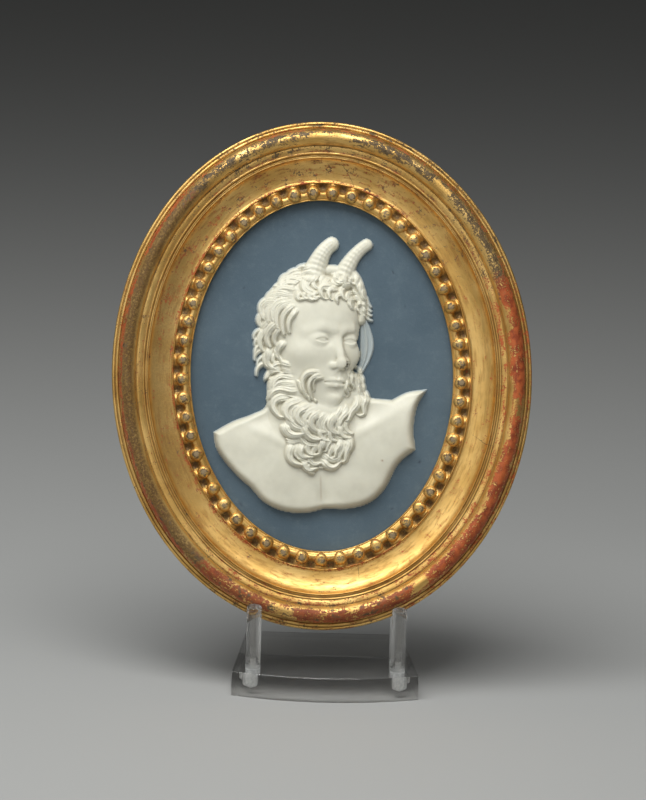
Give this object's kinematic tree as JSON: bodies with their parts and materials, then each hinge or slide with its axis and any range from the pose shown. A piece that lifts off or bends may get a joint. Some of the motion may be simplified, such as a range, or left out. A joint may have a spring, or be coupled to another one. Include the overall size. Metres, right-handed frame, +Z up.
{
  "type": "satyr head plaque",
  "caption": "Oval relief plaque of a horned, bearded satyr's bust in a beaded giltwood frame, leaning back on a clear acrylic peg stand.",
  "frame": {"origin": "on the surface that the stand rests on, under the middle of the whole object", "axes": "+Z up, -Y the side that the plaque faces, +X to the viewer's right"},
  "size_m": [0.1684, 0.07, 0.2254],
  "materials": {
    "gilding": "old gold leaf over red bole, rubbed and cracked",
    "blue_jasper": "unglazed, fine matt",
    "white_jasper": "unglazed, fine waxy matt",
    "acrylic": "clear and polished"
  },
  "bodies": {
    "root": {"frame": "gilding", "plaque_ground": "blue_jasper", "satyr_relief": "white_jasper", "stand_base": "acrylic", "front_peg_left": "acrylic", "front_peg_right": "acrylic", "back_peg_left": "acrylic", "back_peg_right": "acrylic"}
  },
  "joints": []
}
